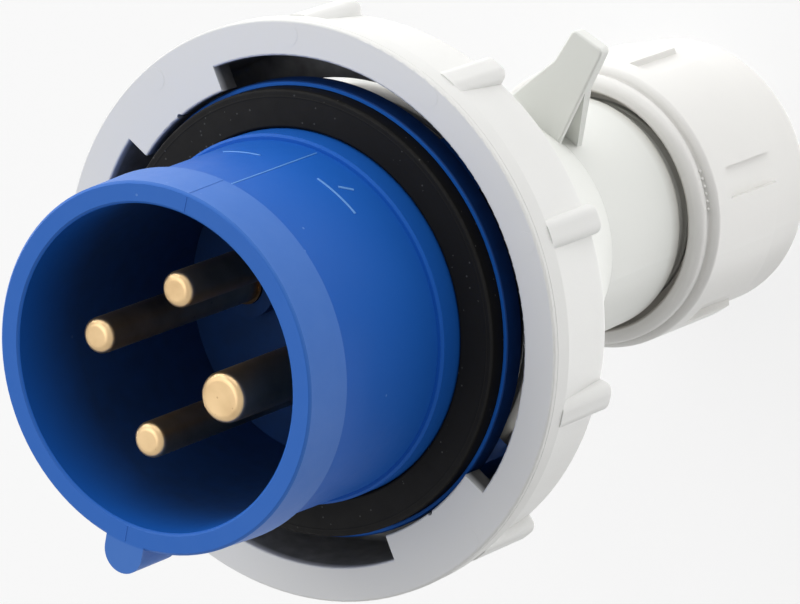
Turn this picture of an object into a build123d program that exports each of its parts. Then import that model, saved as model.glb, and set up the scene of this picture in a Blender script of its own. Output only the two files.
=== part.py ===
from build123d import *
import os
from math import degrees

os.makedirs("parts", exist_ok=True)

# Industrial pin and sleeve plug, 16 A size, two lines, neutral and earth, with a bayonet ring.
# Millimetres, +Z along the plug's axis towards the pins, origin at the rear face of the gland nut.
# Azimuths are degrees about +Z from +X, which points at the earth pin.

full_turn = 360.0

# Allowances
overrun = 1.0
press_gap = 0.05
slip_gap = 0.1
turning_gap = 0.3
soft_gap = 0.1

# Gland nut
nut_wall = 3.0
nut_cable_radius = 8.0
nut_mouth_corner = 0.8
nut_side_wall = 4.1
nut_rear_corner = 1.9
nut_land_rise = 1.0
nut_land_start = 10.0
nut_land_slope = 0.9
nut_shoulder_height = 28.2
nut_shoulder_corner = 1.0
nut_groove_width = 0.8
nut_groove_depth = 0.35
nut_lip_length = 1.9
nut_lip_drop = 0.1
nut_lip_wall = 2.3
nut_lip_corner = 1.2
nut_lip_bore_length = 3.5
nut_flute_count = 6
nut_flute_azimuth = 27.8
nut_flute_width = 4.5
nut_flute_end_height = 23.6
nut_bore_corner = 0.4

# Slip washer, clamping cage and cable seal inside the nut
washer_thickness = 1.5
washer_bore_gap = 0.4
washer_rim_gap = 0.5
cage_flange_thickness = 2.0
cage_rim_gap = 0.8
cage_bore_gap = 0.6
cage_travel = 6.1
cage_finger_reach = 0.6
cage_wall = 3.7
cage_corner = 0.6
cage_slot_count = 8
cage_slot_width = 1.6
seal_length = 13.2
seal_grip = 2.0
seal_corner = 0.6
seal_cut_wall = 2.2
seal_cut_width = 0.7
seal_cut_depth = 3.0
seal_cut_pitch = 2.2
seal_cut_count = 2

# Rear housing
thread_corner = 0.8
thread_gap = 0.3
tail_wall = 3.0
tube_step = 1.5
tube_length = 20.0
tube_draft = 0.5
tube_wall = 2.1
cone_length = 22.3
cone_wall = 2.4
collar_length = 16.5
collar_wall = 2.2
collar_corner = 7.0
collar_edge = 0.4
throat_step = 2.5
throat_length = 2.2
throat_corner = 0.7
throat_flare = 8.0
dog_height = 2.5
dog_length = 3.5
dog_width = 8.0
dog_azimuth = 60.0
dog_count = 4

# Finger tab on the housing: a flared plate and a hollow wedge behind it
tab_azimuth = 76.0
tab_rise = 4.1
tab_thickness = 2.3
tab_sink = 0.8
tab_length = 18.5
tab_right_width = 2.8
tab_left_width = 2.8
tab_head_length = 5.7
tab_waist_width = 3.4
tab_flare_length = 4.0
tab_flare_width = 5.2
tab_root_width = 8.9
tab_corner = 0.8
tab_waist_corner = 2.0
tab_edge = 0.35
wedge_start = 7.3
wedge_drop = 5.5
wedge_wall = 1.2
wedge_front_wall = 0.7
wedge_web = 1.0

# Contact carrier, from its rear edge to the rim of the shroud
spigot_length = 12.4
spigot_wall = 2.3
spigot_edge = 0.5
seal_space = 2.4
neck_step = 0.2
neck_length = 4.4
flange_height = 3.4
flange_thickness = 3.0
gasket_lip_width = 0.6
gasket_lip_height = 0.4
gasket_lip_edge = 0.2
gasket_width = 5.35
stop_rib_step = 0.2
stop_rib_length = 7.7
bead_step = 0.8
bead_height = 3.8
bead_edge = 0.35
barrel_draft = 0.45
band_length = 8.2
band_step = 1.1
band_draft = 0.3
band_edge = 0.25
shroud_length = 34.2
rim_bore_radius = 22.46
rim_wall = 3.04
rim_edge = 0.35
bore_draft = 0.86
floor_thickness = 6.0
boss_height = 2.4
boss_wall = 1.9
key_azimuth = -88.5
key_height = 3.95
key_width = 6.2
key_sink = 1.1
key_step = 0.35

# Contact pins
pin_circle_radius = 11.0
line_pin_count = 3
earth_pin_radius = 3.5
earth_pin_recess = 0.4
earth_barrel_radius = 4.6
earth_wire_radius = 2.6
line_pin_radius = 2.5
line_pin_recess = 1.9
line_barrel_radius = 4.0
line_wire_radius = 2.1
pin_tip_corner = 1.1
pin_root_step = 0.4
pin_root_rise = 0.4
pin_edge = 0.4
barrel_length = 12.4
wire_depth = 9.0
drill_point = 1.0
terminal_height = 6.0

# Terminal screws
screw_radius = 1.75
screw_head_radius = 2.4
screw_head_length = 1.9
screw_head_edge = 0.3
screw_slot_width = 0.8
screw_slot_depth = 1.0

# Retainer plate behind the terminals and its two screws
plate_thickness = 3.0
plate_inset = 4.1
plate_edge = 0.4
wire_hole_margin = 0.6
plate_screw_circle = 16.0
plate_screw_azimuth = 45.0
plate_screw_count = 2
plate_screw_radius = 1.5
plate_screw_head_radius = 2.8
plate_screw_head_length = 2.0
plate_screw_length = 8.0
plate_screw_fit = 0.2

# Seals
gasket_thickness = 3.0
gasket_corner = 0.4
seal_cord_radius = 1.1

# Bayonet coupling ring
ring_length = 16.3
ring_shoulder_thickness = 3.0
ring_shoulder_gap = 1.6
ring_space = 3.2
ring_bore_draft = 0.66
ring_bore_corner = 1.0
ring_wall = 4.91
ring_lip_length = 3.6
ring_lip_step = 0.57
ring_grip_draft = 1.46
ring_front_corner = 0.3
ring_back_corner = 1.0
grip_rib_count = 10
grip_rib_azimuth = -0.5
grip_rib_width = 4.2
grip_rib_rise = 0.15
grip_rib_sink = 1.0
grip_rib_corner = 1.4
grip_rib_end_corner = 0.9
lug_azimuth = 142.6
lug_count = 2
lug_span = 30.2
lug_thickness = 3.5
lug_height = 3.51
lug_edge = 0.3
lug_notch_radius = 0.45

# Heights of the main faces, stacked from the rear of the nut
nut_groove_height = nut_shoulder_height + nut_groove_width
nut_length = nut_groove_height + nut_lip_length
washer_height = nut_wall + slip_gap
cage_height = washer_height + washer_thickness + turning_gap
tail_height = cage_height + cage_flange_thickness + cage_travel
cage_end_height = tail_height + cage_finger_reach
seal_height = cage_end_height + soft_gap
throat_height = seal_height + seal_length + soft_gap
thread_end_height = nut_length + thread_gap
cone_start_height = thread_end_height + tube_length
tab_front_height = cone_start_height + tab_rise
collar_start_height = cone_start_height + cone_length
collar_front_height = collar_start_height + collar_length
shoulder_height = collar_front_height + seal_space
spigot_rear_height = shoulder_height - spigot_length
flange_rear_height = shoulder_height + neck_length
seat_height = flange_rear_height + flange_thickness
gasket_front_height = seat_height + gasket_thickness
rim_height = gasket_front_height + shroud_length
well_end_height = spigot_rear_height + barrel_length
floor_height = well_end_height + floor_thickness
boss_front_height = floor_height + boss_height
terminal_axis_height = spigot_rear_height + terminal_height
plate_rear_height = spigot_rear_height - plate_thickness
stop_height = flange_rear_height - stop_rib_length
shoulder_front_height = stop_height - turning_gap
ring_back_height = shoulder_front_height - ring_shoulder_thickness
ring_front_height = ring_back_height + ring_length
ring_grip_front_height = ring_front_height - ring_lip_length
dog_front_height = ring_back_height - turning_gap

# Radii of the shroud, stacked outwards from its bore
floor_radius = rim_bore_radius - bore_draft
rim_radius = rim_bore_radius + rim_wall
band_radius = rim_radius + band_draft
key_radius = band_radius + key_height
barrel_front_radius = band_radius - band_step
barrel_base_radius = barrel_front_radius + barrel_draft
bead_radius = barrel_base_radius + bead_step
gasket_bore_radius = bead_radius + soft_gap
gasket_radius = gasket_bore_radius + gasket_width
lip_bore_radius = gasket_radius + soft_gap
flange_radius = lip_bore_radius + gasket_lip_width
stop_rib_radius = flange_radius - stop_rib_step

# Radii of the housing's collar and what sits in and round it
neck_radius = flange_radius - flange_height
collar_radius = neck_radius + neck_step
collar_bore_radius = collar_radius - collar_wall
spigot_radius = collar_bore_radius - slip_gap
spigot_bore_radius = spigot_radius - spigot_wall
insert_radius = spigot_bore_radius - slip_gap
insert_floor_radius = floor_radius - slip_gap
plate_radius = spigot_radius - plate_inset
dog_radius = collar_radius + dog_height
ring_shoulder_radius = collar_radius + ring_shoulder_gap
ring_back_bore = flange_radius + ring_space
ring_front_bore = ring_back_bore + ring_bore_draft
ring_lip_radius = ring_front_bore + ring_wall
ring_grip_front_radius = ring_lip_radius - ring_lip_step
ring_back_radius = ring_grip_front_radius - ring_grip_draft
grip_rib_radius = ring_lip_radius + grip_rib_rise
lug_radius = ring_front_bore - lug_height

# Radii of the gland, stacked outwards from the cable's way through the nut
seal_bore_radius = nut_cable_radius - seal_grip
washer_bore_radius = nut_cable_radius + washer_bore_gap
cage_bore_radius = washer_bore_radius + cage_bore_gap
cage_finger_radius = cage_bore_radius + cage_wall
tail_bore_radius = cage_finger_radius + turning_gap
seal_radius = tail_bore_radius - turning_gap
thread_radius = tail_bore_radius + tail_wall
throat_radius = tail_bore_radius - throat_step
tube_end_radius = thread_radius + tube_step
tube_top_radius = tube_end_radius + tube_draft
tube_bore_radius = tube_end_radius - tube_wall
nut_bore_radius = thread_radius + turning_gap
nut_dome_radius = nut_bore_radius + nut_side_wall
nut_land_radius = nut_dome_radius + nut_land_rise
nut_lip_radius = nut_dome_radius - nut_lip_drop
nut_lip_bore_radius = nut_lip_radius - nut_lip_wall
nut_groove_radius = nut_lip_radius - nut_groove_depth
washer_radius = nut_bore_radius - washer_rim_gap
cage_flange_radius = nut_bore_radius - cage_rim_gap

# Reaches of the finger tab from the plug's axis
tab_root_reach = tube_top_radius - tab_sink
tab_tip_reach = tab_root_reach + tab_length
tab_waist_reach = tab_tip_reach - tab_head_length
tab_flare_reach = tab_waist_reach - tab_flare_length
wedge_reach = tab_tip_reach - wedge_start


def radial_plane(azimuth, foot=(0, 0, 0)):
    """The upright plane through foot whose x axis runs outwards at an azimuth."""
    outwards = Vector(1, 0).rotate(Axis.Z, azimuth)
    return Plane(origin=foot, x_dir=outwards, z_dir=outwards.rotate(Axis.Z, -90))


def half_section(outline, azimuth=0, foot=(0, 0, 0)):
    """The face of a closed half section, from (radius, height, corner radius) points."""
    points = [(radius, height) for radius, height, corner in outline]
    corners = [corner for radius, height, corner in outline]
    with BuildSketch(radial_plane(azimuth, foot)) as section:
        with BuildLine():
            FilletPolyline(*points, radius=corners, close=True)
        make_face()
    return section.sketch


def around(count, azimuth, radius=0):
    """Equal places about the plug's axis, the first at an azimuth."""
    return PolarLocations(radius, count, start_angle=azimuth)


def azimuths(count, first):
    """The azimuths of equal places about the plug's axis."""
    return [first + number * full_turn / count for number in range(count)]


def pin_foot(azimuth, height=0):
    """The point of a contact pin's axis at a height."""
    return Vector(pin_circle_radius, 0, height).rotate(Axis.Z, azimuth)


def finish(piece, name):
    """Label a finished piece and write it under its own name."""
    piece.part.label = name
    export_step(piece.part, f"parts/{name}.step")


def ring_sector(outline, azimuth, width, radius):
    """A block turned about the plug's axis from a half section, as wide as given at a radius."""
    span = degrees(width / radius)
    return Solid.revolve(half_section(outline, azimuth - span / 2).face(), span, Axis.Z)


# The earth pin stands at +X and the line pins fill the other quarters of the circle
pin_azimuths = azimuths(line_pin_count + 1, 0)
earth_azimuth, *line_azimuths = pin_azimuths

# Each pin's azimuth, radius, terminal barrel radius and wire bore radius
earth_place = (earth_azimuth, earth_pin_radius, earth_barrel_radius, earth_wire_radius)
line_places = [
    (azimuth, line_pin_radius, line_barrel_radius, line_wire_radius) for azimuth in line_azimuths
]
pin_places = [earth_place] + line_places

# Contact carrier: shroud, gasket flange and the spigot inside the housing, moulded in one
with BuildPart() as contact_carrier:
    revolve(
        half_section([
            (floor_radius, well_end_height, 0),
            (spigot_bore_radius, well_end_height, 0),
            (spigot_bore_radius, spigot_rear_height, 0),
            (spigot_radius - spigot_edge, spigot_rear_height, 0),
            (spigot_radius, spigot_rear_height + spigot_edge, 0),
            (spigot_radius, shoulder_height, 0),
            (neck_radius, shoulder_height, 0),
            (neck_radius, flange_rear_height, 0),
            (flange_radius, flange_rear_height, 0),
            (flange_radius, seat_height + gasket_lip_height - gasket_lip_edge, 0),
            (flange_radius - gasket_lip_edge, seat_height + gasket_lip_height, 0),
            (lip_bore_radius, seat_height + gasket_lip_height, 0),
            (lip_bore_radius, seat_height, 0),
            (bead_radius, seat_height, 0),
            (bead_radius, gasket_front_height + bead_height - bead_edge, 0),
            (bead_radius - bead_edge, gasket_front_height + bead_height, 0),
            (barrel_base_radius, gasket_front_height + bead_height, 0),
            (barrel_front_radius, rim_height - band_length, 0),
            (band_radius - band_edge, rim_height - band_length, 0),
            (band_radius, rim_height - band_length + band_edge, 0),
            (rim_radius, rim_height - rim_edge, 0),
            (rim_radius - rim_edge, rim_height, 0),
            (rim_bore_radius + rim_edge, rim_height, 0),
            (rim_bore_radius, rim_height - rim_edge, 0),
            (floor_radius, floor_height, 0),
        ])
    )
    # Key rib along the shroud, with a round back and a small step behind the rim band
    for height, amount, inset in (
        (rim_height, band_length, 0),
        (rim_height - band_length, shroud_length - band_length - bead_height, key_step),
    ):
        key_plane = Plane(
            pin_foot(0, height) - pin_foot(0), x_dir=pin_foot(key_azimuth), z_dir=(0, 0, -1)
        )
        half_width = key_width / 2 - inset
        with BuildSketch(key_plane):
            with Locations((key_radius - inset - half_width, 0)):
                Circle(half_width)
            with Locations((barrel_front_radius - key_sink, 0)):
                Rectangle(
                    key_radius - inset - half_width - barrel_front_radius + key_sink,
                    2 * half_width,
                    align=(Align.MIN, Align.CENTER),
                )
        extrude(amount=amount)
    # Ribs behind the flange that keep the coupling ring from sliding forwards
    for azimuth in azimuths(dog_count, dog_azimuth):
        add(ring_sector(
            [
                (neck_radius - overrun, shoulder_height + overrun, 0),
                (collar_radius + turning_gap, shoulder_height + overrun, 0),
                (collar_radius + turning_gap, stop_height, 0),
                (stop_rib_radius, stop_height, 0),
                (stop_rib_radius, flange_rear_height + overrun, 0),
                (neck_radius - overrun, flange_rear_height + overrun, 0),
            ],
            azimuth, dog_width, stop_rib_radius,
        ))
finish(contact_carrier, "contact_carrier")

# Contact insert, pressed into the carrier from behind: the shroud's floor with a boss round each
# pin, and a block behind it with a well for each pin's barrel and a guide to its screw
with BuildPart() as contact_insert:
    revolve(half_section([
        (0, spigot_rear_height, 0),
        (insert_radius, spigot_rear_height, 0),
        (insert_radius, well_end_height, 0),
        (insert_floor_radius, well_end_height, 0),
        (insert_floor_radius, floor_height, 0),
        (0, floor_height, 0),
    ]))
    for azimuth, pin_radius, barrel_radius, wire_radius in pin_places:
        root_bore_radius = pin_radius + pin_root_step + press_gap
        with BuildSketch(Plane.XY.offset(floor_height)):
            with Locations(pin_foot(azimuth)):
                Circle(root_bore_radius + boss_wall)
        extrude(amount=boss_height)
        with BuildSketch(Plane.XY.offset(well_end_height)):
            with Locations(pin_foot(azimuth)):
                Circle(root_bore_radius)
        extrude(amount=boss_front_height - well_end_height + overrun, mode=Mode.SUBTRACT)
        with BuildSketch(Plane.XY.offset(spigot_rear_height)):
            with Locations(pin_foot(azimuth)):
                Circle(barrel_radius + press_gap)
        extrude(amount=well_end_height - spigot_rear_height, mode=Mode.SUBTRACT)
        with BuildSketch(Plane(pin_foot(azimuth, terminal_axis_height), z_dir=pin_foot(azimuth))):
            Circle(screw_head_radius + press_gap)
        extrude(amount=spigot_radius, mode=Mode.SUBTRACT)
    with BuildSketch(Plane.XY.offset(spigot_rear_height)):
        with around(plate_screw_count, plate_screw_azimuth, plate_screw_circle):
            Circle(plate_screw_radius + press_gap)
    extrude(amount=plate_screw_length + drill_point, mode=Mode.SUBTRACT)
finish(contact_insert, "contact_insert")


# Contact pins: turned brass, with a root in the boss and a barrel that holds the wire under a screw
def contact_pin(azimuth, pin_radius, recess, barrel_radius, wire_radius, name):
    """Build and write one contact pin at its azimuth."""
    foot = pin_foot(azimuth)
    root_height = boss_front_height + pin_root_rise
    with BuildPart() as pin:
        revolve(
            half_section([
                (0, rim_height - recess, 0),
                (pin_radius, rim_height - recess, pin_tip_corner),
                (pin_radius, root_height, 0),
                (pin_radius + pin_root_step, root_height, 0),
                (pin_radius + pin_root_step, well_end_height, 0),
                (barrel_radius, well_end_height, pin_edge),
                (barrel_radius, spigot_rear_height, pin_edge),
                (wire_radius, spigot_rear_height, pin_edge),
                (wire_radius, spigot_rear_height + wire_depth, 0),
                (0, spigot_rear_height + wire_depth + drill_point, 0),
            ], azimuth, foot),
            axis=Axis(foot, (0, 0, 1)),
        )
        with BuildSketch(Plane(pin_foot(azimuth, terminal_axis_height), z_dir=foot)):
            Circle(screw_radius + press_gap)
        extrude(amount=barrel_radius + overrun, mode=Mode.SUBTRACT)
    finish(pin, name)


contact_pin(earth_azimuth, earth_pin_radius, earth_pin_recess, earth_barrel_radius,
            earth_wire_radius, "earth_pin")
for number, azimuth in enumerate(line_azimuths, start=1):
    contact_pin(azimuth, line_pin_radius, line_pin_recess, line_barrel_radius,
                line_wire_radius, f"line_pin_{number}")


# Slotted screws: a shank, a head with a rounded edge and a slot across it
def slotted_screw(plane, shank, length, head, head_length, name):
    """Build and write a screw whose head sits on a plane and whose shank runs against its normal."""
    with BuildPart() as screw:
        with BuildSketch(plane):
            Circle(head)
        extrude(amount=head_length)
        fillet(screw.faces().sort_by(Axis(plane.origin, plane.z_dir))[-1].edges(), screw_head_edge)
        with BuildSketch(plane):
            Circle(shank)
        extrude(amount=-length)
        with BuildSketch(plane.offset(head_length - screw_slot_depth)):
            Rectangle(2 * head + overrun, screw_slot_width)
        extrude(amount=screw_slot_depth + overrun, mode=Mode.SUBTRACT)
    finish(screw, name)


terminal_names = ["earth_terminal_screw"]
terminal_names += [f"line_terminal_screw_{number + 1}" for number in range(line_pin_count)]
for name, (azimuth, pin_radius, barrel_radius, wire_radius) in zip(terminal_names, pin_places):
    outwards = pin_foot(azimuth).normalized()
    head_seat = pin_foot(azimuth, terminal_axis_height) + outwards * (barrel_radius + slip_gap)
    slotted_screw(Plane(head_seat, z_dir=outwards), screw_radius, barrel_radius, screw_head_radius,
                  screw_head_length, name)

# Retainer plate that holds the terminal barrels in their wells
with BuildPart() as contact_retainer:
    with BuildSketch(Plane.XY.offset(plate_rear_height)):
        Circle(plate_radius)
        for azimuth, pin_radius, barrel_radius, wire_radius in pin_places:
            with Locations(pin_foot(azimuth)):
                Circle(wire_radius + wire_hole_margin, mode=Mode.SUBTRACT)
        with around(plate_screw_count, plate_screw_azimuth, plate_screw_circle):
            Circle(plate_screw_radius + plate_screw_fit, mode=Mode.SUBTRACT)
    extrude(amount=plate_thickness)
    rim_edges = contact_retainer.edges().filter_by(GeomType.CIRCLE).sort_by(SortBy.RADIUS)[-2:]
    chamfer(rim_edges, plate_edge)
finish(contact_retainer, "contact_retainer")

for number, azimuth in enumerate(azimuths(plate_screw_count, plate_screw_azimuth), start=1):
    seat = Vector(plate_screw_circle, 0, plate_rear_height).rotate(Axis.Z, azimuth)
    slotted_screw(Plane(seat, z_dir=(0, 0, -1)), plate_screw_radius,
                  plate_thickness + plate_screw_length, plate_screw_head_radius,
                  plate_screw_head_length, f"retainer_screw_{number}")

# Flat rubber gasket on the flange, which seals against the connector
with BuildPart() as front_gasket:
    revolve(half_section([
        (gasket_bore_radius, seat_height, 0),
        (gasket_radius, seat_height, 0),
        (gasket_radius, gasket_front_height, gasket_corner),
        (gasket_bore_radius, gasket_front_height, gasket_corner),
    ]))
finish(front_gasket, "front_gasket")

# Rubber cord ring between the housing's front edge and the carrier's shoulder
with BuildPart() as housing_seal:
    seal_centre = (spigot_radius + press_gap + seal_cord_radius, collar_front_height + seal_space / 2)
    with BuildSketch(radial_plane(0)):
        with Locations(seal_centre):
            Circle(seal_cord_radius)
    revolve(axis=Axis.Z)
finish(housing_seal, "housing_seal")

# Bayonet coupling ring: grip ribs outside, two cam lugs and a rear shoulder inside
with BuildPart() as grip_rib:
    rib_root_radius = ring_back_radius - grip_rib_sink
    with BuildSketch(Plane.XY.offset(ring_back_height)):
        with BuildLine():
            FilletPolyline(
                (rib_root_radius, -grip_rib_width / 2),
                (grip_rib_radius, -grip_rib_width / 2),
                (grip_rib_radius, grip_rib_width / 2),
                (rib_root_radius, grip_rib_width / 2),
                radius=[0, grip_rib_corner, grip_rib_corner, 0],
                close=True,
            )
        make_face()
    extrude(amount=ring_grip_front_height + grip_rib_rise - ring_back_height)
    fillet(grip_rib.faces().sort_by(Axis.Z)[0].edges(), grip_rib_end_corner)

with BuildPart() as coupling_ring:
    revolve(half_section([
        (ring_shoulder_radius, ring_back_height, 0),
        (ring_back_radius, ring_back_height, ring_back_corner),
        (ring_grip_front_radius, ring_grip_front_height, 0),
        (ring_lip_radius, ring_grip_front_height, 0),
        (ring_lip_radius, ring_front_height, ring_front_corner),
        (ring_front_bore, ring_front_height, ring_front_corner),
        (ring_back_bore, shoulder_front_height, ring_bore_corner),
        (ring_shoulder_radius, shoulder_front_height, 0),
    ]))
    with around(grip_rib_count, grip_rib_azimuth):
        add(grip_rib.part)
    lug_root_radius = ring_front_bore + ring_front_corner + slip_gap
    lug_outline = [
        (lug_radius, ring_front_height, lug_edge),
        (lug_root_radius, ring_front_height, 0),
        (lug_root_radius, ring_front_height - lug_thickness, 0),
        (lug_radius, ring_front_height - lug_thickness, 0),
    ]
    for azimuth in azimuths(lug_count, lug_azimuth):
        start = half_section(lug_outline, azimuth - lug_span / 2)
        revolve(start, axis=Axis.Z, revolution_arc=lug_span)
    with BuildSketch(Plane.XY.offset(ring_front_height - lug_thickness - overrun)):
        with around(lug_count, lug_azimuth, lug_radius):
            Circle(lug_notch_radius)
    extrude(amount=lug_thickness + 2 * overrun, mode=Mode.SUBTRACT)
finish(coupling_ring, "coupling_ring")

# Finger tab: a plate, flared on one side into the cone, stiffened by a hollow wedge behind it
tab_plane = Plane((0, 0, tab_front_height), x_dir=pin_foot(tab_azimuth), z_dir=(0, 0, -1))
with BuildPart() as finger_tab:
    with BuildSketch(tab_plane):
        with BuildLine():
            FilletPolyline(
                (tab_root_reach, tab_right_width),
                (tab_tip_reach, tab_right_width),
                (tab_tip_reach, -tab_left_width),
                (tab_waist_reach, -tab_waist_width),
                (tab_flare_reach, -tab_flare_width),
                (tab_root_reach, -tab_root_width),
                radius=[0, tab_corner, tab_corner, tab_waist_corner, tab_waist_corner, 0],
                close=True,
            )
        make_face()
    extrude(amount=tab_thickness)
    plate_faces = finger_tab.faces().sort_by(Axis.Z)
    for face in (plate_faces[0], plate_faces[-1]):
        fillet(face.edges(), tab_edge)
    wedge_plane = Plane(
        origin=tab_plane.from_local_coords((0, tab_right_width, 0)),
        x_dir=tab_plane.x_dir, z_dir=tab_plane.y_dir,
    )
    wedge_width = tab_right_width + tab_left_width
    with BuildSketch(wedge_plane):
        with BuildLine():
            Polyline(
                (tab_root_reach, -wedge_front_wall),
                (wedge_reach, -wedge_front_wall),
                (wedge_reach, -tab_thickness),
                (tab_root_reach, -tab_thickness - wedge_drop),
                close=True,
            )
        make_face()
    extrude(amount=-wedge_width)
    # The wedge is hollowed from both sides, which leaves a web in its middle
    with BuildSketch(wedge_plane.offset(overrun), wedge_plane.offset(-(wedge_width + wedge_web) / 2)):
        with BuildLine():
            Polyline(
                (tab_root_reach - overrun, -wedge_front_wall),
                (wedge_reach - slip_gap, -wedge_front_wall),
                (tab_root_reach, wedge_wall - tab_thickness - wedge_drop),
                (tab_root_reach - overrun, wedge_wall - tab_thickness - wedge_drop),
                close=True,
            )
        make_face()
    extrude(amount=-(wedge_width - wedge_web) / 2 - overrun, mode=Mode.SUBTRACT)

# Rear housing: collar over the carrier, cone, and a tube threaded at its tail for the nut
with BuildPart() as rear_housing:
    revolve(half_section([
        (0, tail_height, 0),
        (thread_radius, tail_height, thread_corner),
        (thread_radius, thread_end_height, 0),
        (tube_end_radius, thread_end_height, tube_step - slip_gap),
        (tube_top_radius, cone_start_height, 0),
        (collar_radius, collar_start_height, collar_corner),
        (collar_radius, collar_front_height, collar_edge),
        (0, collar_front_height, 0),
    ]))
    # Dogs outside the collar that keep the coupling ring from sliding off backwards
    for azimuth in azimuths(dog_count, dog_azimuth):
        add(ring_sector(
            [
                (collar_radius - overrun, dog_front_height - dog_length, 0),
                (dog_radius, dog_front_height - dog_length + dog_height, 0),
                (dog_radius, dog_front_height, 0),
                (collar_radius - overrun, dog_front_height, 0),
            ],
            azimuth, dog_width, dog_radius,
        ))
    add(finger_tab.part)
    revolve(half_section([
        (0, tail_height - overrun, 0),
        (tail_bore_radius, tail_height - overrun, 0),
        (tail_bore_radius, throat_height, 0),
        (throat_radius, throat_height, throat_corner),
        (throat_radius, throat_height + throat_length, throat_corner),
        (tube_bore_radius, throat_height + throat_length + throat_flare, 0),
        (tube_bore_radius, cone_start_height + cone_wall, 0),
        (collar_bore_radius, collar_start_height + cone_wall, 0),
        (collar_bore_radius, collar_front_height + overrun, 0),
        (0, collar_front_height + overrun, 0),
    ]), mode=Mode.SUBTRACT)
finish(rear_housing, "rear_housing")

# Cable seal: a rubber sleeve with ring cuts in its rear face
with BuildPart() as gland_seal:
    revolve(half_section([
        (seal_bore_radius, seal_height, seal_corner),
        (seal_radius, seal_height, seal_corner),
        (seal_radius, seal_height + seal_length, seal_corner),
        (seal_bore_radius, seal_height + seal_length, seal_corner),
    ]))
    with BuildSketch(Plane.XY.offset(seal_height)):
        for number in range(seal_cut_count):
            cut_radius = seal_bore_radius + seal_cut_wall + number * seal_cut_pitch
            Circle(cut_radius + seal_cut_width)
            Circle(cut_radius, mode=Mode.SUBTRACT)
    extrude(amount=seal_cut_depth, mode=Mode.SUBTRACT)
finish(gland_seal, "gland_seal")

# Clamping cage that presses the seal into the tail when the nut is screwed on
with BuildPart() as clamp_cage:
    revolve(half_section([
        (cage_bore_radius, cage_height, cage_corner),
        (cage_flange_radius, cage_height, cage_corner),
        (cage_flange_radius, cage_height + cage_flange_thickness, cage_corner),
        (cage_finger_radius, cage_height + cage_flange_thickness, cage_corner),
        (cage_finger_radius, cage_end_height, cage_corner),
        (cage_bore_radius, cage_end_height, cage_corner),
    ]))
    with BuildSketch(Plane.XY.offset(cage_height + cage_flange_thickness)):
        with around(cage_slot_count, earth_azimuth):
            Rectangle(cage_flange_radius, cage_slot_width, align=(Align.MIN, Align.CENTER))
    extrude(amount=cage_end_height - cage_height, mode=Mode.SUBTRACT)
finish(clamp_cage, "clamp_cage")

# Slip washer that keeps the turning nut off the cage
with BuildPart() as slip_washer:
    revolve(half_section([
        (washer_bore_radius, washer_height, 0),
        (washer_radius, washer_height, 0),
        (washer_radius, washer_height + washer_thickness, 0),
        (washer_bore_radius, washer_height + washer_thickness, 0),
    ]))
finish(slip_washer, "slip_washer")

# Gland nut: domed rear, six fluted lands and a rounded lip in front of a groove
with BuildPart() as gland_nut:
    revolve(half_section([
        (nut_cable_radius, 0, nut_mouth_corner),
        (nut_dome_radius, 0, nut_rear_corner),
        (nut_dome_radius, nut_land_start, 0),
        (nut_land_radius, nut_land_start + nut_land_slope, 0),
        (nut_land_radius, nut_shoulder_height, nut_shoulder_corner),
        (nut_groove_radius, nut_shoulder_height, nut_groove_depth),
        (nut_groove_radius, nut_groove_height, 0),
        (nut_lip_radius, nut_groove_height, 0),
        (nut_lip_radius, nut_length, nut_lip_corner),
        (nut_lip_bore_radius, nut_length, nut_groove_depth),
        (nut_lip_bore_radius, nut_length - nut_lip_bore_length, 0),
        (nut_bore_radius, nut_length - nut_lip_bore_length, 0),
        (nut_bore_radius, nut_wall, nut_bore_corner),
        (nut_cable_radius, nut_wall, 0),
    ]))
    for azimuth in azimuths(nut_flute_count, nut_flute_azimuth):
        add(ring_sector(
            [
                (nut_dome_radius, nut_land_start - overrun, 0),
                (nut_land_radius + overrun, nut_land_start - overrun, 0),
                (nut_land_radius + overrun, nut_flute_end_height, 0),
                (nut_dome_radius, nut_flute_end_height, nut_groove_depth),
            ],
            azimuth, nut_flute_width, nut_dome_radius,
        ), mode=Mode.SUBTRACT)
finish(gland_nut, "gland_nut")
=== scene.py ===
import logging
import math
from collections.abc import Callable
from dataclasses import dataclass, field
from enum import Enum, StrEnum

import bpy
from mathutils import Matrix, Vector


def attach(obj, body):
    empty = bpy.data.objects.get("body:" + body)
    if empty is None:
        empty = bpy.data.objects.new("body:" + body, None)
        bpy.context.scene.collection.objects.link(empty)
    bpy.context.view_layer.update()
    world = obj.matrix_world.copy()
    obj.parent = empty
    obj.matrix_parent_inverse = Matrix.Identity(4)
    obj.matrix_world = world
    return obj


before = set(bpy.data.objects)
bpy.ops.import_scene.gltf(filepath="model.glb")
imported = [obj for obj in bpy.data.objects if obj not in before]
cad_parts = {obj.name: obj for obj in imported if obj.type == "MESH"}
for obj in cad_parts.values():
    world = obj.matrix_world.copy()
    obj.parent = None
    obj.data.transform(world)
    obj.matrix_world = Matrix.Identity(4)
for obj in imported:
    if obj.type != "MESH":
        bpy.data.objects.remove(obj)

log = logging.getLogger("plug")

Colour = tuple[float, float, float]
Point = tuple[float, float, float]
Span = tuple[float, float]
Mesh = bpy.types.Object
Socket = bpy.types.NodeSocket

# Sizes of the plug's own pieces are in millimetres and angles in degrees. The studio is in metres.
MM = 0.001
FULL_TURN = 360.0
QUARTER_TURN = 90.0
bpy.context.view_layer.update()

# Azimuths of the parting lines, opposite each other on the shroud and its key rib
SEAM_AZIMUTH = 89.3
KEY_AZIMUTH = -88.5

# A span that every height and radius of the plug lies beyond
EVERYWHERE = (-2.0, -1.0)
NOISE_MIDDLE = 0.5


def opaque(colour: Colour) -> tuple[float, float, float, float]:
    """Give a colour the alpha that colour sockets hold."""
    return (*colour, 1.0)


WHITE = opaque((1.0, 1.0, 1.0))


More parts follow.
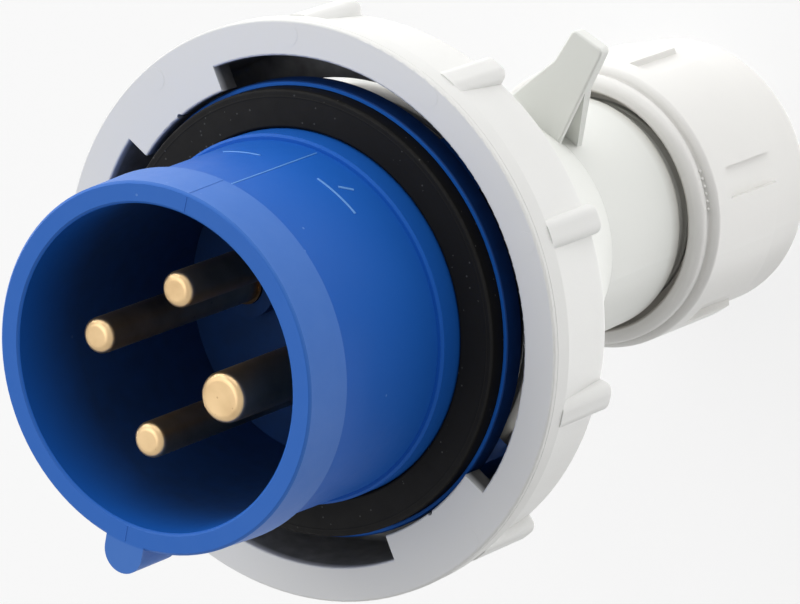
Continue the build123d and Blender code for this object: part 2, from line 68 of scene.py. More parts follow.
class Body(StrEnum):
    """The bodies that added pieces move with."""

    BODY = "body"
    RING = "ring"
    NUT = "nut"


class Axis(StrEnum):
    """The main axes, with the plug's own along Z."""

    X = "X"
    Y = "Y"
    Z = "Z"


class Level:
    """A number on a shader socket, whose operators add Math nodes to its tree."""

    def __init__(self, wiring: "Wiring", socket: Socket) -> None:
        """Wrap a socket of a node tree."""
        self.wiring = wiring
        self.socket = socket

    def combine(self, operation: str, *values: "Level | float") -> "Level":
        """Add a Math node over some values.

        Args:
            operation: The Math node's operation.
            values: Its inputs in order, numbers or other levels.

        Returns:
            The node's output as a level.
        """
        links = dict(enumerate(values))
        made = self.wiring.node("ShaderNodeMath", {"operation": operation}, links)
        return Level(self.wiring, made.outputs[0])

    def __add__(self, other: "Level | float") -> "Level":
        """Add a number or level."""
        return self.combine("ADD", self, other)

    def __radd__(self, other: float) -> "Level":
        """Add to a number."""
        return self.combine("ADD", other, self)

    def __sub__(self, other: "Level | float") -> "Level":
        """Take a number or level away."""
        return self.combine("SUBTRACT", self, other)

    def __rsub__(self, other: float) -> "Level":
        """Take away from a number."""
        return self.combine("SUBTRACT", other, self)

    def __mul__(self, other: "Level | float") -> "Level":
        """Multiply by a number or level."""
        return self.combine("MULTIPLY", self, other)

    def __rmul__(self, other: float) -> "Level":
        """Multiply a number."""
        return self.combine("MULTIPLY", other, self)

    def __pow__(self, other: float) -> "Level":
        """Raise to a power."""
        return self.combine("POWER", self, other)

    def __or__(self, other: "Level") -> "Level":
        """Give the larger of two levels."""
        return self.combine("MAXIMUM", self, other)

    def __gt__(self, threshold: float) -> "Level":
        """Give one where the level is above a threshold, and zero elsewhere."""
        return self.combine("GREATER_THAN", self, threshold)

    def ramp(self, low: float, high: float) -> "Level":
        """Rise evenly from zero at one value to one at another, which may be the lower.

        Args:
            low: The value that gives zero.
            high: The value that gives one.

        Returns:
            The clamped share.
        """
        links = {"Value": self, "From Min": low, "From Max": high}
        made = self.wiring.node("ShaderNodeMapRange", {"clamp": True}, links)
        return Level(self.wiring, made.outputs["Result"])


class Wiring:
    """A node tree, with the few node calls that every finish and the sky are made of."""

    def __init__(self, tree: bpy.types.NodeTree) -> None:
        """Take hold of a node tree."""
        self.tree = tree

    def node(self, kind: str, settings: dict, links: dict) -> bpy.types.Node:
        """Add a node.

        Args:
            kind: The node's type.
            settings: Its own settings, set before its sockets.
            links: Values, levels or sockets by input name or number.

        Returns:
            The new node.
        """
        made = self.tree.nodes.new(kind)
        for setting, value in settings.items():
            setattr(made, setting, value)
        for where, value in links.items():
            self.put(made.inputs[where], value)
        return made

    def put(self, socket: Socket, value: "Level | Socket | float | tuple") -> None:
        """Set an input socket, or link it where the value is a level or a socket.

        Args:
            socket: The input.
            value: What goes into it.
        """
        if isinstance(value, Level):
            self.tree.links.new(value.socket, socket)
        elif isinstance(value, Socket):
            self.tree.links.new(value, socket)
        else:
            socket.default_value = value

    def seen(self) -> Level:
        """Tell what is looked at from what only lights.

        Returns:
            One for the camera, reflections and see-through surfaces, and zero for other light.
        """
        path = self.node("ShaderNodeLightPath", {}, {})
        rays = ("Camera", "Glossy", "Transmission")
        camera, glossy, through = (Level(self, path.outputs[f"Is {ray} Ray"]) for ray in rays)
        return camera | glossy | through


class Surface(Wiring):
    """A material's node tree, on Object coordinates."""

    def __init__(self, name: str) -> None:
        """Make a material that holds only a Principled shader.

        Args:
            name: The material's name.
        """
        self.material = bpy.data.materials.new(name)
        self.material.use_nodes = True
        super().__init__(self.material.node_tree)
        self.shader = self.tree.nodes["Principled BSDF"]
        self.place = self.node("ShaderNodeTexCoord", {}, {}).outputs["Object"]

    def stretched(self, scale: Point) -> Socket:
        """Scale the Object coordinates along each axis."""
        mapping = self.node("ShaderNodeMapping", {}, {"Vector": self.place, "Scale": scale})
        return mapping.outputs["Vector"]

    def reach(self) -> tuple[Level, Level]:
        """Find where a point lies on the plug.

        Returns:
            Its radius from the plug's axis and its height along it, in metres.
        """
        split = self.node("ShaderNodeSeparateXYZ", {}, {"Vector": self.place})
        x, y, z = (Level(self, split.outputs[axis]) for axis in Axis)
        return (x * x + y * y) ** 0.5, z

    def noise(self, scale: float, detail: float = 2.0, place: Socket | None = None) -> Level:
        """Cloudy noise between about 0.2 and 0.8.

        Args:
            scale: Clouds per metre.
            detail: How many finer layers are added.
            place: Coordinates in place of the object's own.

        Returns:
            The noise as a level.
        """
        links = {"Vector": place or self.place, "Scale": scale, "Detail": detail}
        return Level(self, self.node("ShaderNodeTexNoise", {}, links).outputs[0])

    def varied(self, middle: float, spread: float, noise: Level) -> Level:
        """Vary a value by noise.

        Args:
            middle: The value where the noise is at its middle.
            spread: How far the value goes over the noise's whole range.
            noise: The noise.

        Returns:
            The varied value.
        """
        return middle + spread * (noise - NOISE_MIDDLE)

    def specks(self, scale: float, size: float) -> Level:
        """Small dots.

        Args:
            scale: Cells per metre, with one dot in each.
            size: The dot's radius as a share of a cell.

        Returns:
            One inside a dot and zero elsewhere.
        """
        cells = self.node("ShaderNodeTexVoronoi", {}, {"Vector": self.place, "Scale": scale})
        return 1 - (Level(self, cells.outputs["Distance"]) > size)

    def mix(self, share: Level, first: "Socket | tuple", second: "Socket | tuple") -> Socket:
        """Mix two colours by a level.

        Args:
            share: How much of the second colour shows.
            first: A colour or a colour socket.
            second: A colour or a colour socket.

        Returns:
            The mixed colour's socket.
        """
        made = self.node("ShaderNodeMix", {"data_type": "RGBA"}, {0: share, 6: first, 7: second})
        return made.outputs[2]

    def bump(self, height: Level, depth: float, below: Socket | None = None) -> Socket:
        """Turn a height level into a normal.

        Args:
            height: The relief, from zero to one.
            depth: The relief's depth in metres.
            below: A normal of a coarser relief under this one.

        Returns:
            The normal's socket.
        """
        links = {"Height": height, "Distance": depth, "Strength": 1.0}
        if below is not None:
            links["Normal"] = below
        return self.node("ShaderNodeBump", {}, links).outputs["Normal"]

    def shade(self, **sockets: "Level | Socket | float | tuple") -> bpy.types.Material:
        """Set sockets of the Principled shader.

        Args:
            sockets: Values by the socket's name, with underscores for spaces.

        Returns:
            The material.
        """
        for name, value in sockets.items():
            self.put(self.shader.inputs[name.replace("_", " ")], value)
        return self.material


@dataclass(frozen=True)
class Zone:
    """A part of a surface whose colour is mixed towards a tint: a lighter band and rim face, or
    painted shade in a recess or under another part.
    """

    colour: Colour
    share: float
    heights: Span = EVERYWHERE
    radii: Span = EVERYWHERE
    cloud_scale: float = 400.0
    cloud_spread: float = 0.3

    def over(self, surface: Surface, colour: "Socket | tuple") -> Socket:
        """Mix the tint over a colour where both the height and the radius have come in.

        Args:
            surface: The material.
            colour: The colour below.

        Returns:
            The tinted colour's socket.
        """
        radius, height = surface.reach()
        share = height.ramp(*(edge * MM for edge in self.heights))
        share = share * radius.ramp(*(edge * MM for edge in self.radii))
        clouds = surface.varied(1.0, self.cloud_spread, surface.noise(self.cloud_scale))
        return surface.mix(share * clouds * self.share, colour, opaque(self.colour))


@dataclass(frozen=True)
class Dust:
    """Small specks or pits that lie in patches."""

    colour: Colour
    share: float
    scale: float
    size: float
    patch_scale: float
    patch_level: float

    def over(self, surface: Surface, colour: "Socket | tuple") -> Socket:
        """Mix the specks over a colour.

        Args:
            surface: The material.
            colour: The colour below.

        Returns:
            The speckled colour's socket.
        """
        patches = surface.noise(self.patch_scale) > self.patch_level
        share = surface.specks(self.scale, self.size) * patches * self.share
        return surface.mix(share, colour, opaque(self.colour))


@dataclass(frozen=True)
class MouldedPlastic:
    """Injection moulded plastic: fine grain, slow colour drift and a little sink waviness."""

    name: str
    colour: Colour
    drift: Colour
    roughness: float
    sheen_level: float = 0.5
    # Specks and tinted zones, mixed over the colour in turn; most of the zones are painted shade.
    marks: tuple[Dust | Zone, ...] = ()
    cloud_scale: float = 45.0
    cloud_detail: float = 3.0
    grain_scale: float = 2600.0
    grain_depth: float = 0.006
    sink_scale: float = 55.0
    sink_detail: float = 1.0
    sink_depth: float = 0.05
    gloss_scale: float = 700.0
    gloss_spread: float = 0.1

    def material(self) -> bpy.types.Material:
        """Build the finish.

        Returns:
            The material.
        """
        surface = Surface(self.name)
        clouds = surface.noise(self.cloud_scale, self.cloud_detail)
        colour = surface.mix(clouds, opaque(self.colour), opaque(self.drift))
        for mark in self.marks:
            colour = mark.over(surface, colour)
        sink = surface.bump(surface.noise(self.sink_scale, self.sink_detail), self.sink_depth * MM)
        normal = surface.bump(surface.noise(self.grain_scale), self.grain_depth * MM, sink)
        gloss = surface.noise(self.gloss_scale)
        return surface.shade(
            Base_Color=colour, Normal=normal, Specular_IOR_Level=self.sheen_level,
            Roughness=surface.varied(self.roughness, self.gloss_spread, gloss),
        )


@dataclass(frozen=True)
class BlackRubber:
    """Dull black rubber with pale dust specks and a faintly pitted skin."""

    name: str
    colour: Colour
    bloom: Colour
    roughness: float = 0.62
    sheen_level: float = 0.4
    dust: Dust = Dust((0.16, 0.16, 0.15), 0.35, 900.0, 0.12, 240.0, 0.52)
    bloom_scale: float = 160.0
    bloom_detail: float = 4.0
    pit_scale: float = 1500.0
    pit_detail: float = 3.0
    pit_depth: float = 0.02
    gloss_scale: float = 500.0
    gloss_spread: float = 0.2

    def material(self) -> bpy.types.Material:
        """Build the finish.

        Returns:
            The material.
        """
        surface = Surface(self.name)
        bloom = surface.noise(self.bloom_scale, self.bloom_detail)
        colour = surface.mix(bloom, opaque(self.colour), opaque(self.bloom))
        pits = surface.noise(self.pit_scale, self.pit_detail)
        gloss = surface.noise(self.gloss_scale)
        return surface.shade(
            Base_Color=self.dust.over(surface, colour), Normal=surface.bump(pits, self.pit_depth * MM),
            Roughness=surface.varied(self.roughness, self.gloss_spread, gloss),
            Specular_IOR_Level=self.sheen_level,
        )


@dataclass(frozen=True)
class TurnedMetal:
    """Bar metal off a lathe, with rings of tool marks along the axis and light tarnish."""

    name: str
    colour: Colour
    tarnish: Colour
    roughness: float
    groove_depth: float = 0.004
    # Zones of painted shade, such as on the pins' roots.
    marks: tuple[Zone, ...] = ()
    stain_scale: float = 220.0
    stain_detail: float = 4.0
    stain_power: float = 2.0
    pit_share: float = 0.6
    pit_scale: float = 700.0
    pit_size: float = 0.1
    pit_patch_scale: float = 180.0
    pit_patch_level: float = 0.56
    groove_scale: Point = (120.0, 120.0, 5200.0)
    groove_detail: float = 3.0
    gloss_scale: Point = (200.0, 200.0, 2600.0)
    gloss_spread: float = 0.14

    def material(self) -> bpy.types.Material:
        """Build the finish.

        Returns:
            The material.
        """
        surface = Surface(self.name)
        stain = surface.noise(self.stain_scale, self.stain_detail) ** self.stain_power
        colour = surface.mix(stain, opaque(self.colour), opaque(self.tarnish))
        pits = Dust(
            self.tarnish, self.pit_share, self.pit_scale, self.pit_size,
            self.pit_patch_scale, self.pit_patch_level,
        )
        for mark in (pits, *self.marks):
            colour = mark.over(surface, colour)
        grooves = surface.noise(1.0, self.groove_detail, surface.stretched(self.groove_scale))
        gloss = surface.noise(1.0, place=surface.stretched(self.gloss_scale))
        return surface.shade(
            Base_Color=colour, Normal=surface.bump(grooves, self.groove_depth * MM), Metallic=1.0,
            Roughness=surface.varied(self.roughness, self.gloss_spread, gloss),
        )


class Finish(Enum):
    """The finishes of the plug's pieces."""

    SHROUD = MouldedPlastic(
        "shroud_blue", (0.010, 0.110, 0.49), (0.014, 0.125, 0.53), 0.45, sheen_level=0.12,
        marks=(
            Dust((0.35, 0.55, 0.85), 0.25, 260.0, 0.05, 90.0, 0.55),
            # A lighter blue over the band and over the rim's face.
            Zone((0.085, 0.215, 0.60), 0.65, heights=(128.6, 129.0), radii=(25.2, 25.5)),
            Zone((0.085, 0.215, 0.60), 0.35, heights=(136.4, 136.8), radii=(22.4, 22.7)),
            # Painted shade: darker navy deeper down inside the bore, and on the flange's side under
            # the ring.
            Zone((0.020, 0.035, 0.075), 0.72, heights=(136.0, 124.0), radii=(22.48, 22.44)),
            Zone((0.006, 0.014, 0.060), 0.7, heights=(103.1, 102.4), radii=(31.9, 32.0)),
        ),
    )
    # Painted highlight: a lighter blue for the raised arrow, index line and barrel seam, standing in
    # for the light that they catch.
    SHROUD_EDGE = MouldedPlastic(
        "shroud_highlight_blue", (0.10, 0.30, 0.72), (0.16, 0.38, 0.80), 0.40, sheen_level=0.35,
    )
    RING = MouldedPlastic(
        "ring_grey", (0.765, 0.765, 0.745), (0.795, 0.79, 0.77), 0.45,
        # Painted shade: near black down the ring's bore, below its face.
        marks=(Zone((0.02, 0.02, 0.02), 0.85, heights=(102.0, 100.6), radii=(36.3, 36.15)),),
    )
    HOUSING = MouldedPlastic(
        "housing_white", (0.76, 0.77, 0.735), (0.79, 0.795, 0.76), 0.45,
        marks=(
            # Painted shade: on the tail where it goes into the nut's lip, and on the collar seen in
            # the gap behind the ring.
            Zone((0.34, 0.31, 0.26), 0.6, heights=(34.6, 31.4), radii=(16.0, 16.8)),
            Zone((0.24, 0.21, 0.16), 0.65, heights=(84.0, 86.0), radii=(28.0, 28.4)),
        ),
    )
    NUT = MouldedPlastic(
        "nut_white", (0.80, 0.79, 0.765), (0.83, 0.82, 0.795), 0.42,
        # Painted shade inside the nut's lip.
        marks=(Zone((0.40, 0.36, 0.31), 0.5, heights=(24.0, 26.0), radii=(18.5, 18.2)),),
    )
    INNER = MouldedPlastic("cage_plastic", (0.50, 0.51, 0.51), (0.54, 0.55, 0.55), 0.55)
    GASKET = BlackRubber(
        "gasket_black", (0.004, 0.0038, 0.0036), (0.008, 0.0075, 0.007), sheen_level=0.15,
    )
    SEAL = BlackRubber("seal_rubber", (0.02, 0.02, 0.021), (0.03, 0.03, 0.03))
    BRASS = TurnedMetal(
        "contact_brass", (0.66, 0.48, 0.27), (0.30, 0.18, 0.08), 0.34, groove_depth=0.03,
        # Painted shade on the pins' roots, down in their wells.
        marks=(Zone((0.08, 0.05, 0.03), 0.9, heights=(103.0, 101.2)),),
    )
    STEEL = TurnedMetal("screw_steel", (0.62, 0.62, 0.62), (0.42, 0.41, 0.38), 0.31)


class Paintbox:
    """Builds each finish once and dresses objects with it."""

    def __init__(self) -> None:
        """Start with no material built."""
        self.made: dict[Finish, bpy.types.Material] = {}

    def dress(self, piece: Mesh, finish: Finish) -> None:
        """Give a piece one finish all over.

        Args:
            piece: The object to dress.
            finish: The finish to use.
        """
        if finish not in self.made:
            self.made[finish] = finish.value.material()
        piece.data.materials.clear()
        piece.data.materials.append(self.made[finish])


@dataclass
class CarriedNodes:
    """The CAD nodes that show as they are, each with its finish."""

    paint: Paintbox
    finishes: dict[str, Finish] = field(default_factory=lambda: {
        "contact_carrier": Finish.SHROUD,
        "contact_insert": Finish.SHROUD,
        "coupling_ring": Finish.RING,
        "rear_housing": Finish.HOUSING,
        "gland_nut": Finish.NUT,
        "front_gasket": Finish.GASKET,
        "housing_seal": Finish.SEAL,
        "gland_seal": Finish.SEAL,
        "clamp_cage": Finish.INNER,
        "slip_washer": Finish.INNER,
        "contact_retainer": Finish.INNER,
    })

    def build(self) -> None:
        """Dress every CAD node from model.glb."""
        for name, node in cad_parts.items():
            self.paint.dress(node, self.finish_of(name))
            log.info("dressed %s", name)

    def finish_of(self, name: str) -> Finish:
        """Find a node's finish: its own, brass for a pin and steel for a screw.

        Args:
            name: The node's name.

        Returns:
            The finish.
        """
        if name in self.finishes:
            return self.finishes[name]
        return Finish.BRASS if "pin" in name else Finish.STEEL


class Workpiece:
    """A primitive that is shaped in edit mode, with its object left at the origin."""

    smooth_angle = 35.0
    merge_reach = 0.001 * MM
    least_rise = 0.9

    def __init__(self, add: Callable[..., set[str]], name: str, **sizes: float | str) -> None:
        """Add the primitive and enter edit mode with all of it selected.

        Args:
            add: The operator that adds the primitive.
            name: The piece's name.
            sizes: The primitive's own sizes.
        """
        bpy.ops.object.select_all(action="DESELECT")
        add(**sizes)
        self.mesh = bpy.context.object
        self.mesh.name = self.mesh.data.name = name
        self.edit()

    def edit(self) -> None:
        """Enter edit mode with every vertex selected."""
        bpy.ops.object.mode_set(mode="EDIT")
        bpy.ops.mesh.select_all(action="SELECT")

    def leave(self) -> None:
        """Go back to object mode."""
        bpy.ops.object.mode_set(mode="OBJECT")

    def merge(self) -> None:
        """Merge the vertices that meet, and leave every vertex selected."""
        bpy.ops.mesh.select_all(action="SELECT")
        bpy.ops.mesh.remove_doubles(threshold=self.merge_reach)
        bpy.ops.mesh.select_all(action="SELECT")

    def scale(self, x: float, y: float) -> "Workpiece":
        """Scale about the origin, square to the plug's axis."""
        bpy.ops.transform.resize(value=(x, y, 1.0), center_override=(0.0, 0.0, 0.0))
        return self

    def move(self, radius: float, level: float) -> "Workpiece":
        """Move by millimetres, out along X and up along the plug's axis."""
        bpy.ops.transform.translate(value=(radius * MM, 0.0, level * MM))
        return self

    def turn(self, axis: Axis, degrees: float) -> "Workpiece":
        """Turn about a main axis by the right-hand rule.

        Args:
            axis: The axis.
            degrees: The angle.

        Returns:
            The same workpiece.
        """
        bpy.ops.transform.rotate(
            value=-math.radians(degrees), orient_axis=axis, orient_type="GLOBAL",
            center_override=(0.0, 0.0, 0.0),
        )
        return self

    def sweep(self, degrees: float, steps: int) -> "Workpiece":
        """Spin the selected outline about the plug's axis.

        Args:
            degrees: The angle that it sweeps.
            steps: How many stretches the sweep has.

        Returns:
            The same workpiece.
        """
        bpy.ops.mesh.spin(
            steps=steps, angle=-math.radians(degrees), center=(0.0, 0.0, 0.0), axis=(0.0, 0.0, 1.0),
        )
        return self

    def dish(self, border: float, depth: float) -> "Workpiece":
        """Sink the faces that look up, inside a border.

        Args:
            border: The border's width.
            depth: How far the faces sink.

        Returns:
            The same workpiece.
        """
        self.leave()
        for face in self.mesh.data.polygons:
            face.select = face.normal.z > self.least_rise
        bpy.ops.object.mode_set(mode="EDIT")
        bpy.ops.mesh.select_mode(type="FACE")
        bpy.ops.mesh.inset(thickness=border * MM, depth=-depth * MM)
        bpy.ops.mesh.select_mode(type="VERT")
        bpy.ops.mesh.select_all(action="SELECT")
        return self

    def done(self, paint: Paintbox, finish: Finish, body: Body) -> Mesh:
        """Turn the faces outwards, smooth, dress and hang the piece on its body.

        Args:
            paint: The finishes.
            finish: The piece's own finish.
            body: The body that it moves with.

        Returns:
            The finished object.
        """
        bpy.ops.mesh.select_all(action="SELECT")
        bpy.ops.mesh.normals_make_consistent(inside=False)
        self.leave()
        bpy.ops.object.shade_smooth_by_angle(angle=math.radians(self.smooth_angle))
        paint.dress(self.mesh, finish)
        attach(self.mesh, body)
        log.info("made %s on %s", self.mesh.name, body)
        return self.mesh


def copy_round(first: Mesh, body: Body, places: dict[str, float]) -> None:
    """Copy a finished piece round the plug's axis, each copy with a mesh of its own.

    Args:
        first: The finished piece, which stands at the first of the places.
        body: The body that the copies move with.
        places: The azimuth of each piece by its name.
    """
    start = places[first.name]
    for name, azimuth in places.items():
        if name == first.name:
            continue
        piece = first.copy()
        piece.data = first.data.copy()
        piece.name = piece.data.name = name
        bpy.context.scene.collection.objects.link(piece)
        piece.data.transform(Matrix.Rotation(math.radians(azimuth - start), 4, "Z"))
        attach(piece, body)
        log.info("made %s on %s", name, body)


@dataclass(frozen=True)
class Arc:
    """Place of a line along a circle about the plug's axis, a whole ring unless it has a span."""

    name: str
    radius: float
    level: float
    start: float = 0.0
    span: float = FULL_TURN


@dataclass(frozen=True)
class Bar:
    """Place of a straight line, upright along the plug's axis unless it leans or tilts.

    Its lean is in the surface, and its tilt outwards follows a taper.
    """

    name: str
    length: float
    radius: float
    azimuth: float
    level: float
    lean: float = 0.0
    tilt: float = 0.0


@dataclass
class Relief:
    """Rounded raised lines on the mouldings, half sunk in the surface that they lie on."""

    paint: Paintbox
    finish: Finish
    body: Body
    width: float
    height: float
    sides: int = 10
    least_steps: int = 8
    step_angle: float = 2.5
    unit_radius: float = 0.5

    def arc(self, line: Arc) -> Mesh:
        """Lay a line along a circle about the plug's axis.

        Args:
            line: Its name and place.

        Returns:
            The finished line.
        """
        closed = line.span >= FULL_TURN
        piece = Workpiece(
            bpy.ops.mesh.primitive_circle_add, line.name, vertices=self.sides,
            radius=self.unit_radius * MM, fill_type="NOTHING" if closed else "NGON",
        )
        piece.scale(self.height, self.width).turn(Axis.X, QUARTER_TURN)
        piece.move(line.radius, line.level).turn(Axis.Z, line.start)
        piece.sweep(line.span, max(self.least_steps, round(line.span / self.step_angle)))
        if closed:
            piece.merge()
        return piece.done(self.paint, self.finish, self.body)

    def bar(self, line: Bar) -> Mesh:
        """Lay a straight line on a surface that faces outwards.

        Args:
            line: Its name, length and place.

        Returns:
            The finished line.
        """
        piece = Workpiece(
            bpy.ops.mesh.primitive_cylinder_add, line.name, vertices=self.sides,
            radius=self.unit_radius * MM, depth=line.length * MM,
        )
        piece.scale(self.height, self.width).turn(Axis.X, line.lean).turn(Axis.Y, line.tilt)
        piece.move(line.radius, line.level).turn(Axis.Z, line.azimuth)
        return piece.done(self.paint, self.finish, self.body)


@dataclass
class ShroudMarks:
    """Turning arrow, index line and parting lines on the blue moulding."""

    paint: Paintbox
    arrow_shaft: Arc = Arc("arrow_shaft", 25.02, 113.6, start=61.5, span=16.7)
    arrow_barb: Bar = Bar("arrow_barb", 2.4, 25.05, 71.0, 111.0, lean=-31.0)
    index_line: Arc = Arc("index_line", 25.02, 114.5, start=99.0, span=14.0)
    barrel_seam: Bar = Bar("barrel_seam", 21.0, 24.93, SEAM_AZIMUTH, 117.8, tilt=-1.16)
    hair_seams: tuple[Bar, ...] = (
        Bar("band_seam", 7.4, 25.66, SEAM_AZIMUTH, 132.8, tilt=-2.2),
        Bar("key_seam", 21.6, 29.4, KEY_AZIMUTH, 117.8),
        Bar("key_band_seam", 7.6, 29.75, KEY_AZIMUTH, 132.9),
    )
    rim_radius: float = 24.0
    rim_level: float = 137.0
    rim_seam_radius: float = 0.08
    rim_seam_length: float = 2.2
    rim_seam_sides: int = 8

    def build(self) -> None:
        """Make every mark."""
        # The arrow, index line and barrel seam wear the lighter blue of painted highlight.
        bold = Relief(self.paint, Finish.SHROUD_EDGE, Body.BODY, width=0.4, height=0.24)
        bold.arc(self.arrow_shaft)
        bold.bar(self.arrow_barb)
        fine = Relief(self.paint, Finish.SHROUD_EDGE, Body.BODY, width=0.3, height=0.16)
        fine.arc(self.index_line)
        edge = Relief(self.paint, Finish.SHROUD_EDGE, Body.BODY, width=0.2, height=0.14)
        edge.bar(self.barrel_seam)
        hair = Relief(self.paint, Finish.SHROUD, Body.BODY, width=0.16, height=0.12)
        for seam in self.hair_seams:
            hair.bar(seam)
        self.rim_seams()

    def rim_seams(self) -> None:
        """Lay a hair line across the rim's face, and copy it to the key rib's side."""
        piece = Workpiece(
            bpy.ops.mesh.primitive_cylinder_add, "rim_seam_top", vertices=self.rim_seam_sides,
            radius=self.rim_seam_radius * MM, depth=self.rim_seam_length * MM,
        )
        piece.turn(Axis.Y, QUARTER_TURN).move(self.rim_radius, self.rim_level)
        seam = piece.turn(Axis.Z, SEAM_AZIMUTH).done(self.paint, Finish.SHROUD, Body.BODY)
        places = {"rim_seam_top": SEAM_AZIMUTH, "rim_seam_key": KEY_AZIMUTH}
        copy_round(seam, Body.BODY, places)


@dataclass
class RingMarks:
    """Ejector marks on the ring's face and the parting line round its lip."""

    paint: Paintbox
    face_level: float = 102.1
    circle_radius: float = 38.9
    azimuths: tuple[float, ...] = (-32.9, 35.5, 71.3, 106.6, 142.9)
    mark_radius: float = 1.7
    mark_sides: int = 48
    mark_border: float = 0.2
    rise: float = 0.05
    lip_seam: Arc = Arc("lip_seam", 40.87, 101.2)

    def build(self) -> None:
        """Make the ejector marks, one modelled and the others copied, and the parting line."""
        places = {f"ejector_mark_{number}": at for number, at in enumerate(self.azimuths, start=1)}
        copy_round(self.ejector("ejector_mark_1"), Body.RING, places)
        Relief(self.paint, Finish.RING, Body.RING, width=0.14, height=0.1).arc(self.lip_seam)

    def ejector(self, name: str) -> Mesh:
        """Make a round mark with a slightly sunk middle, at the first azimuth.

        Args:
            name: The piece's name.

        Returns:
            The finished mark.
        """
        piece = Workpiece(
            bpy.ops.mesh.primitive_cylinder_add, name, vertices=self.mark_sides,
            radius=self.mark_radius * MM, depth=2 * self.rise * MM,
        )
        piece.dish(self.mark_border, self.rise / 2)
        piece.move(self.circle_radius, self.face_level).turn(Axis.Z, self.azimuths[0])
        return piece.done(self.paint, Finish.RING, Body.RING)


@dataclass
class NutMarks:
    """Row of small dots in the nut's groove."""

    paint: Paintbox
    radius: float = 20.25
    level: float = 28.55
    azimuths: tuple[float, ...] = (19.9, 23.1, 26.3, 29.5, 32.7, 35.9)
    dot_radius: float = 0.27
    dot_flat_share: float = 0.8
    dot_segments: int = 20
    dot_rings: int = 12

    def build(self) -> None:
        """Model one dot and copy it along the groove."""
        places = {f"nut_dot_{number}": at for number, at in enumerate(self.azimuths, start=1)}
        piece = Workpiece(
            bpy.ops.mesh.primitive_uv_sphere_add, "nut_dot_1", segments=self.dot_segments,
            ring_count=self.dot_rings, radius=self.dot_radius * MM,
        )
        piece.scale(self.dot_flat_share, 1.0).move(self.radius, self.level)
        dot = piece.turn(Axis.Z, self.azimuths[0]).done(self.paint, Finish.NUT, Body.NUT)
        copy_round(dot, Body.NUT, places)


@dataclass
class HousingMarks:
    """Cable gland's thread on the housing's tail, and the line where its cone starts."""

    paint: Paintbox
    thread_radius: float = 16.0
    thread_rise: float = 0.15
    thread_width: float = 0.9
    thread_start: float = 17.0
    thread_sides: int = 6
    pitch: float = 1.5
    turns: int = 9
    steps_per_turn: int = 60
    cone_line: Arc = Arc("cone_line", 18.0, 51.2)

    def build(self) -> None:
        """Make the thread and the line."""
        self.thread()
        Relief(self.paint, Finish.HOUSING, Body.BODY, width=0.16, height=0.1).arc(self.cone_line)

    def thread(self) -> None:
        """Screw a rounded outline up the tail and close its ends."""
        piece = Workpiece(
            bpy.ops.mesh.primitive_circle_add, "tail_thread", vertices=self.thread_sides,
            radius=MM, fill_type="NOTHING",
        )
        piece.scale(self.thread_rise, self.thread_width / 2).turn(Axis.X, QUARTER_TURN)
        piece.move(self.thread_radius, self.thread_start).leave()
        bpy.ops.object.modifier_add(type="SCREW")
        screw = piece.mesh.modifiers[-1]
        screw.screw_offset = self.pitch * MM
        screw.iterations = self.turns
        screw.steps = screw.render_steps = self.steps_per_turn
        bpy.ops.object.modifier_apply(modifier=screw.name)
        piece.edit()
        piece.merge()
        bpy.ops.mesh.fill_holes(sides=self.thread_sides)
        piece.done(self.paint, Finish.HOUSING, Body.BODY)


@dataclass
class GasketMarks:
    """Moulding line on the gasket's face, near its outer edge."""

    paint: Paintbox
    gasket_line: Arc = Arc("gasket_line", 30.4, 102.8)

    def build(self) -> None:
        """Make the line."""
        Relief(self.paint, Finish.GASKET, Body.BODY, width=0.08, height=0.3).arc(self.gasket_line)


@dataclass(frozen=True)
class Lamp:
    """A soft lamp: its direction in the camera's right, up and back, and its watts."""

    name: str
    bearing: Point
    power: float


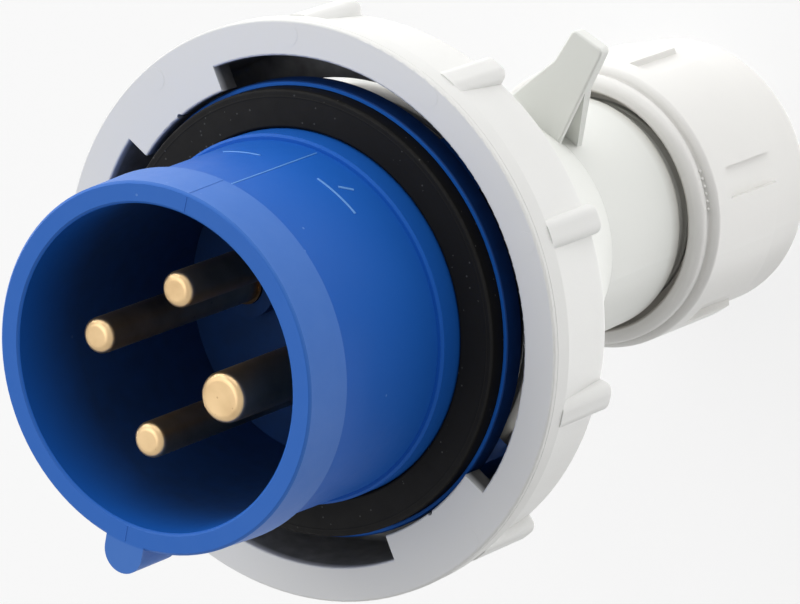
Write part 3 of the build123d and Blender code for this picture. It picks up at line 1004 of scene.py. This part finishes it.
@dataclass
class Studio:
    """White floor, soft lamps and the camera, placed about the plug's middle."""

    target: Point = (0.0, 0.0, 0.075)
    eye: Point = (0.39856, 0.30749, 0.75318)
    azimuth: float = 38.01
    elevation: float = 53.19
    roll: float = -110.61
    lens: float = 270.0
    sensor: float = 36.0
    clip: Span = (0.05, 20.0)
    floor_size: float = 6.0
    floor_white: float = 0.86
    floor_roughness: float = 0.9
    floor_glow: float = 0.78
    ambient: float = 0.4
    lamp_size: float = 0.9
    lamp_distance: float = 1.1
    lamps: tuple[Lamp, ...] = (
        Lamp("key_left", (-0.7, 0.7, 0.0), 5.0),
        Lamp("key_right", (0.7, 0.7, 0.0), 2.8),
        Lamp("front_top", (0.0, 0.8, 0.6), 2.8),
        Lamp("front_left", (-0.8, 0.0, 0.6), 3.9),
        Lamp("rim_left", (-0.8, 0.0, -0.6), 2.2),
        Lamp("rim_right", (0.8, 0.0, -0.6), 4.6),
        Lamp("rim_top", (0.0, 0.8, -0.6), 1.8),
    )
    axes: Matrix = field(init=False)

    def __post_init__(self) -> None:
        """Work out the camera's right, up and back directions."""
        turn, tilt = math.radians(self.azimuth), math.radians(self.elevation)
        back = Vector((
            math.cos(tilt) * math.cos(turn), math.cos(tilt) * math.sin(turn), math.sin(tilt),
        ))
        level_right = Vector((0.0, 0.0, 1.0)).cross(back).normalized()
        right = Matrix.Rotation(math.radians(self.roll), 3, back) @ level_right
        self.axes = Matrix((right, back.cross(right), back)).transposed()

    def build(self) -> None:
        """Make the camera, the sky, the lamps and the floor."""
        self.camera()
        self.sky()
        for lamp in self.lamps:
            self.hang(lamp)
        self.floor()
        log.info("studio ready")

    def camera(self) -> None:
        """Make the camera at the photograph's viewing angle."""
        data = bpy.data.cameras.new("camera")
        data.lens, data.sensor_width = self.lens, self.sensor
        data.clip_start, data.clip_end = self.clip
        camera = bpy.data.objects.new("camera", data)
        camera.matrix_world = Matrix.Translation(self.eye) @ self.axes.to_4x4()
        bpy.context.scene.collection.objects.link(camera)
        bpy.context.scene.camera = camera

    def sky(self) -> None:
        """Light everything evenly, and show white to the camera and to reflections."""
        world = bpy.data.worlds.new("studio")
        world.use_nodes = True
        bpy.context.scene.world = world
        wiring = Wiring(world.node_tree)
        background = wiring.tree.nodes["Background"]
        wiring.put(background.inputs["Color"], WHITE)
        strength = self.ambient + (1.0 - self.ambient) * wiring.seen()
        wiring.put(background.inputs["Strength"], strength)

    def hang(self, lamp: Lamp) -> None:
        """Hang a square lamp that points at the plug.

        Args:
            lamp: Its name, direction and power.
        """
        data = bpy.data.lights.new(lamp.name, "AREA")
        data.energy, data.size = lamp.power, self.lamp_size
        data.cycles.use_multiple_importance_sampling = False
        hung = bpy.data.objects.new(lamp.name, data)
        towards = (self.axes @ Vector(lamp.bearing)).normalized()
        hung.location = Vector(self.target) + towards * self.lamp_distance
        hung.rotation_mode = "QUATERNION"
        hung.rotation_quaternion = towards.to_track_quat("Z", "Y")
        bpy.context.scene.collection.objects.link(hung)

    def floor(self) -> None:
        """Lay the white floor, which catches the plug's shadow and lets the low lamps through."""
        bpy.ops.mesh.primitive_plane_add(size=self.floor_size, location=(0.0, 0.0, 0.0))
        floor = bpy.context.object
        floor.name = "floor"
        surface = Surface("floor_white")
        surface.shade(Base_Color=opaque((self.floor_white,) * 3), Roughness=self.floor_roughness)
        glow = surface.node("ShaderNodeEmission", {}, {"Color": WHITE, "Strength": 1.0})
        shaders = {1: surface.shader.outputs[0], 2: glow.outputs[0]}
        share = surface.seen() * self.floor_glow
        blend = surface.node("ShaderNodeMixShader", {}, {0: share, **shaders})
        output = surface.tree.nodes["Material Output"]
        surface.put(output.inputs["Surface"], blend.outputs[0])
        floor.data.materials.append(surface.material)
        floor.visible_shadow = False


def main() -> None:
    """Build the studio, then the plug's pieces in order."""
    logging.basicConfig(level=logging.INFO, format="%(name)s %(message)s")
    bpy.context.scene.view_settings.view_transform = "Standard"
    paint = Paintbox()
    Studio().build()
    CarriedNodes(paint).build()
    for marks in (ShroudMarks, RingMarks, NutMarks, HousingMarks, GasketMarks):
        marks(paint).build()


if __name__ == "__main__":
    main()
